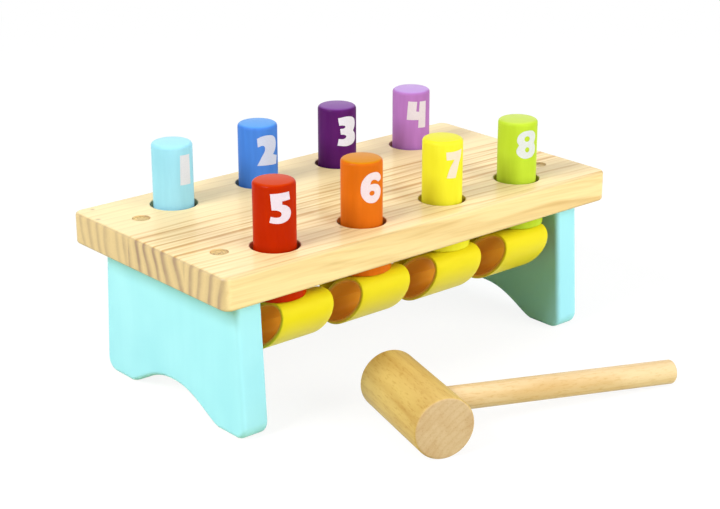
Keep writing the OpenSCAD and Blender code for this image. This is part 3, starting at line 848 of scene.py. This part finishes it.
mallet = {
    "headRadius": 18.5, "headLength": 74.1, "headSteps": 96, "rounding": 1.6,
    "handleRadius": 7.35, "handleLength": 172.0, "handleSteps": 64,
    "handleInside": 0.6,  # where the handle starts in the head, as a share of the head's radius
    "turn": 16.8, "slope": 3.754, "middleX": -54.0, "middleOut": 45.2,
}


def makeMallet(m):
    place = Vector((m["middleX"] * millimetre, boardLow.y - m["middleOut"] * millimetre,
                    m["headRadius"] * millimetre))
    turn = (Matrix.Rotation(-math.radians(m["turn"]), 3, "Z")
            @ Matrix.Rotation(math.radians(m["slope"]), 3, "Y"))
    half, rounding = m["headLength"] / 2 * millimetre, m["rounding"] * millimetre
    headR, handleR = m["headRadius"] * millimetre, m["handleRadius"] * millimetre
    start, end = headR * m["handleInside"], m["handleLength"] * millimetre
    parts = [
        # name, profile, steps, axis that it is laid over about, the grain's direction before the turn
        ("Head", [(0, -half, 0), (headR, -half, rounding), (headR, half, rounding), (0, half, 0)],
         m["headSteps"], "X", (0, 1, 0)),
        ("Handle", [(0, start, 0), (handleR, start, 0), (handleR, end, rounding), (0, end, 0)],
         m["handleSteps"], "Y", (1, 0, 0)),
    ]
    for part, profile, steps, axis, along in parts:
        bm = turnedShape(profile, steps=steps)
        bmesh.ops.rotate(bm, verts=bm.verts, cent=(0, 0, 0), matrix=Matrix.Rotation(math.pi / 2, 3, axis))
        bmesh.ops.rotate(bm, verts=bm.verts, cent=(0, 0, 0), matrix=turn)
        bmesh.ops.translate(bm, verts=bm.verts, vec=place)
        wood = turnedWoodMaterial(f"beech{part}", part.lower(), tuple(turn @ Vector(along)), turnedWood)
        meshPiece(f"mallet{part}", bm, wood, "mallet", (f"mallet_{part.lower()}",))


makeMallet(mallet)
print("mallet made")

for node in ("leg_screws", "spring_screws"):
    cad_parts[node].data.materials.clear()
    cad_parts[node].data.materials.append(zinc)

studio = {
    "floorSize": 12.0, "floorDrop": 0.0001, "shadowReach": (0.35, 1.1), "floorGlow": 0.88, "floorShade": 0.15,
    "floorBounce": (0.61, 0.61, 0.34),  # what the floor throws back at the object
    "ambient": 0.2, "lowTint": (1.0, 0.95, 0.5), "tintEnds": (0.05, 0.45),  # the world's light near the floor
    # name: watts, size in m, place in m
    "lamps": {"left": (40.0, 0.9, (-1.65, 0.1, 1.35)), "front": (41.0, 1.4, (0.75, -1.75, 0.8)),
              "top": (8.0, 1.6, (-0.1, 0.3, 1.9)), "backdrop": (11.0, 2.4, (1.55, 1.85, 0.85))},
    "mirrored": ("left", "top", "backdrop"),  # the lamps that show as highlights
    "aim": (0, 0, 0.05),
}


def seenDirectly(tree):
    # 1 for camera, mirror and transmission rays, 0 for the light that falls on surfaces
    ray = addNode(tree, "ShaderNodeLightPath")
    seen = addNode(tree, "ShaderNodeMath", {"operation": "MAXIMUM"},
                   {0: ray.outputs["Is Camera Ray"], 1: ray.outputs["Is Glossy Ray"]}).outputs[0]
    return addNode(tree, "ShaderNodeMath", {"operation": "MAXIMUM"},
                   {0: seen, 1: ray.outputs["Is Transmission Ray"]}).outputs[0]


def makeFloor(s):
    bm = bmesh.new()
    bmesh.ops.create_grid(bm, x_segments=1, y_segments=1, size=s["floorSize"] / 2)
    material, tree = newMaterial("paleFloor")
    place = addNode(tree, "ShaderNodeTexCoord").outputs["Object"]
    away = addNode(tree, "ShaderNodeVectorMath", {"operation": "LENGTH"}, {0: place}).outputs["Value"]
    near, far = s["shadowReach"]
    strength = addNode(tree, "ShaderNodeMapRange",
                       {"From Min": near, "From Max": far, "To Min": s["floorGlow"], "To Max": 1.0},
                       {"Value": away}).outputs[0]
    tone = addNode(tree, "ShaderNodeMapRange",
                   {"From Min": near, "From Max": far, "To Min": s["floorShade"], "To Max": 0.0},
                   {"Value": away}).outputs[0]
    glow = addNode(tree, "ShaderNodeEmission", {"Color": (1, 1, 1, 1)}, {"Strength": strength})
    shade = addNode(tree, "ShaderNodeBsdfDiffuse", links={"Color": tone})
    both = addNode(tree, "ShaderNodeAddShader", links={0: glow.outputs[0], 1: shade.outputs[0]})
    plain = addNode(tree, "ShaderNodeBsdfDiffuse", {"Color": s["floorBounce"] + (1,)})
    mixed = addNode(tree, "ShaderNodeMixShader",
                    links={0: seenDirectly(tree), 1: plain.outputs[0], 2: both.outputs[0]})
    finishMaterial(tree, mixed)
    mesh = bpy.data.meshes.new("floor")
    bm.to_mesh(mesh)
    bm.free()
    mesh.materials.append(material)
    floor = bpy.data.objects.new("floor", mesh)
    floor.location.z = -s["floorDrop"]
    scene.collection.objects.link(floor)


def makeLight(s):
    world = bpy.data.worlds.new("studio")
    world.use_nodes = True
    scene.world = world
    tree = world.node_tree
    tree.nodes.clear()
    towards = addNode(tree, "ShaderNodeTexCoord").outputs["Generated"]
    height = addNode(tree, "ShaderNodeSeparateXYZ", links={0: towards}).outputs["Z"]
    near, far = s["tintEnds"]
    raised = addNode(tree, "ShaderNodeMapRange", {"From Min": near, "From Max": far},
                     {"Value": height}).outputs[0]
    tint = addNode(tree, "ShaderNodeMix", {"data_type": "RGBA", 6: s["lowTint"] + (1,), 7: (1, 1, 1, 1)},
                   {0: raised}).outputs[2]
    soft = addNode(tree, "ShaderNodeBackground", {"Strength": s["ambient"]}, {"Color": tint})
    white = addNode(tree, "ShaderNodeBackground", {"Color": (1, 1, 1, 1), "Strength": 1.0})
    light = addNode(tree, "ShaderNodeMixShader",
                    links={0: seenDirectly(tree), 1: soft.outputs[0], 2: white.outputs[0]})
    addNode(tree, "ShaderNodeOutputWorld", links={"Surface": light.outputs[0]})

    for name, (power, size, place) in s["lamps"].items():
        data = bpy.data.lights.new(name, "AREA")
        data.energy, data.size = power, size
        lamp = bpy.data.objects.new(name, data)
        scene.collection.objects.link(lamp)
        lamp.location = place
        lamp.visible_glossy = name in s["mirrored"]
        lamp.rotation_euler = (Vector(s["aim"]) - Vector(place)).to_track_quat("-Z", "Y").to_euler()


makeFloor(studio)
makeLight(studio)
print("studio made")
